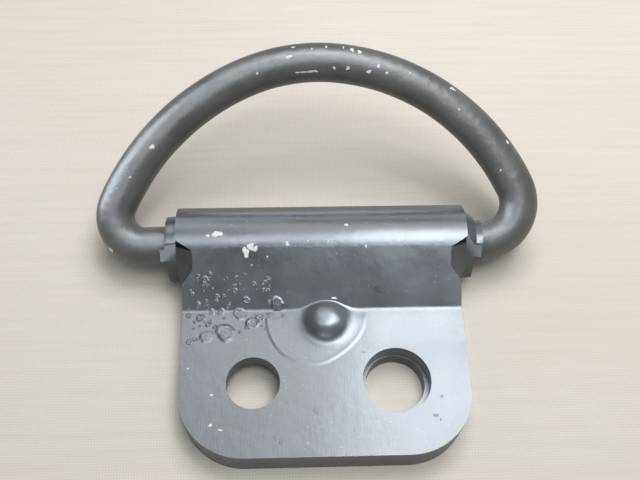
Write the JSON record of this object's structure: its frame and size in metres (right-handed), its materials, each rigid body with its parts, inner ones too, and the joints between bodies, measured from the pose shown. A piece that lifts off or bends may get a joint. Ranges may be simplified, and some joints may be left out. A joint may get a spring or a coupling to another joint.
{
  "type": "cargo floor hook",
  "caption": "Black painted cargo floor hook: a bent bar D ring that swings in the rolled and crimped barrel of a folded sheet steel bracket with a bump across its bend",
  "frame": {"origin": "on the bracket's flat back face, midway between its two bolt holes", "axes": "X along the barrel that holds the ring, Y from the bolt holes to the barrel, Z out of the floor"},
  "size_m": [0.08, 0.0703, 0.027],
  "materials": {
    "bracket_paint": "satin",
    "ring_paint": "satin"
  },
  "bodies": {
    "bracket": {"folded_bracket": "bracket_paint"},
    "ring": {"d_ring": "ring_paint"}
  },
  "joints": [
    {"name": "ring_swing", "type": "hinge", "parent": "bracket", "child": "ring", "pos_m": [0, 0.026, 0.00675], "axis": [1, 0, 0], "range_deg": [-35, 141]}
  ]
}
